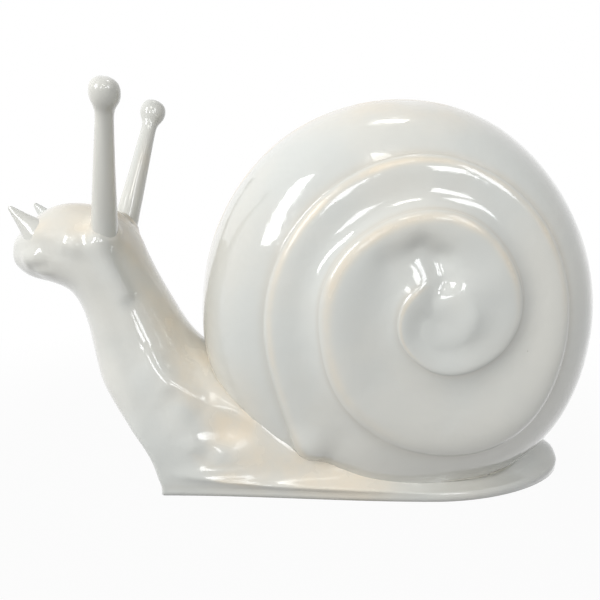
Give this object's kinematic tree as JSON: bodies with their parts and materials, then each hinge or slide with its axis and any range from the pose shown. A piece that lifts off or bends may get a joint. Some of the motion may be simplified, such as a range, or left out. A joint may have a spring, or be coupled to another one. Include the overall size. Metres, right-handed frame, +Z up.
{
  "type": "snail ornament",
  "caption": "Free-standing hollow snail ornament: coiled shell on a long flat foot, raised neck and blunt head with knobbed eye stalks and short horns, in glossy white.",
  "frame": {"origin": "point on the floor under the foot, on the middle plane, near the middle of the length", "axes": "+Z up, -X towards the snail's head, +X towards its tail, -Y towards its left side"},
  "size_m": [0.5973, 0.246, 0.3976],
  "materials": {
    "gelcoat": "gloss",
    "glass_tape": "matte",
    "adhesive": "matte",
    "steel": "zinc plated",
    "board": "sealed plywood",
    "brass": "plain"
  },
  "bodies": {
    "root": {"body_left": "gelcoat", "body_right": "gelcoat", "body_seam_tape": "glass_tape", "eye_nuts": "steel", "eye_rod_left": "steel", "eye_rod_right": "steel", "eye_stalk_left": "gelcoat", "eye_stalk_right": "gelcoat", "eye_washers": "steel", "horn_left": "gelcoat", "horn_pin_left": "steel", "horn_pin_right": "steel", "horn_right": "gelcoat", "shell_bond_line": "adhesive", "shell_left": "gelcoat", "shell_right": "gelcoat", "shell_seam_tape": "glass_tape", "sole_inserts": "brass", "sole_plate": "board", "sole_screws": "steel"}
  },
  "joints": []
}
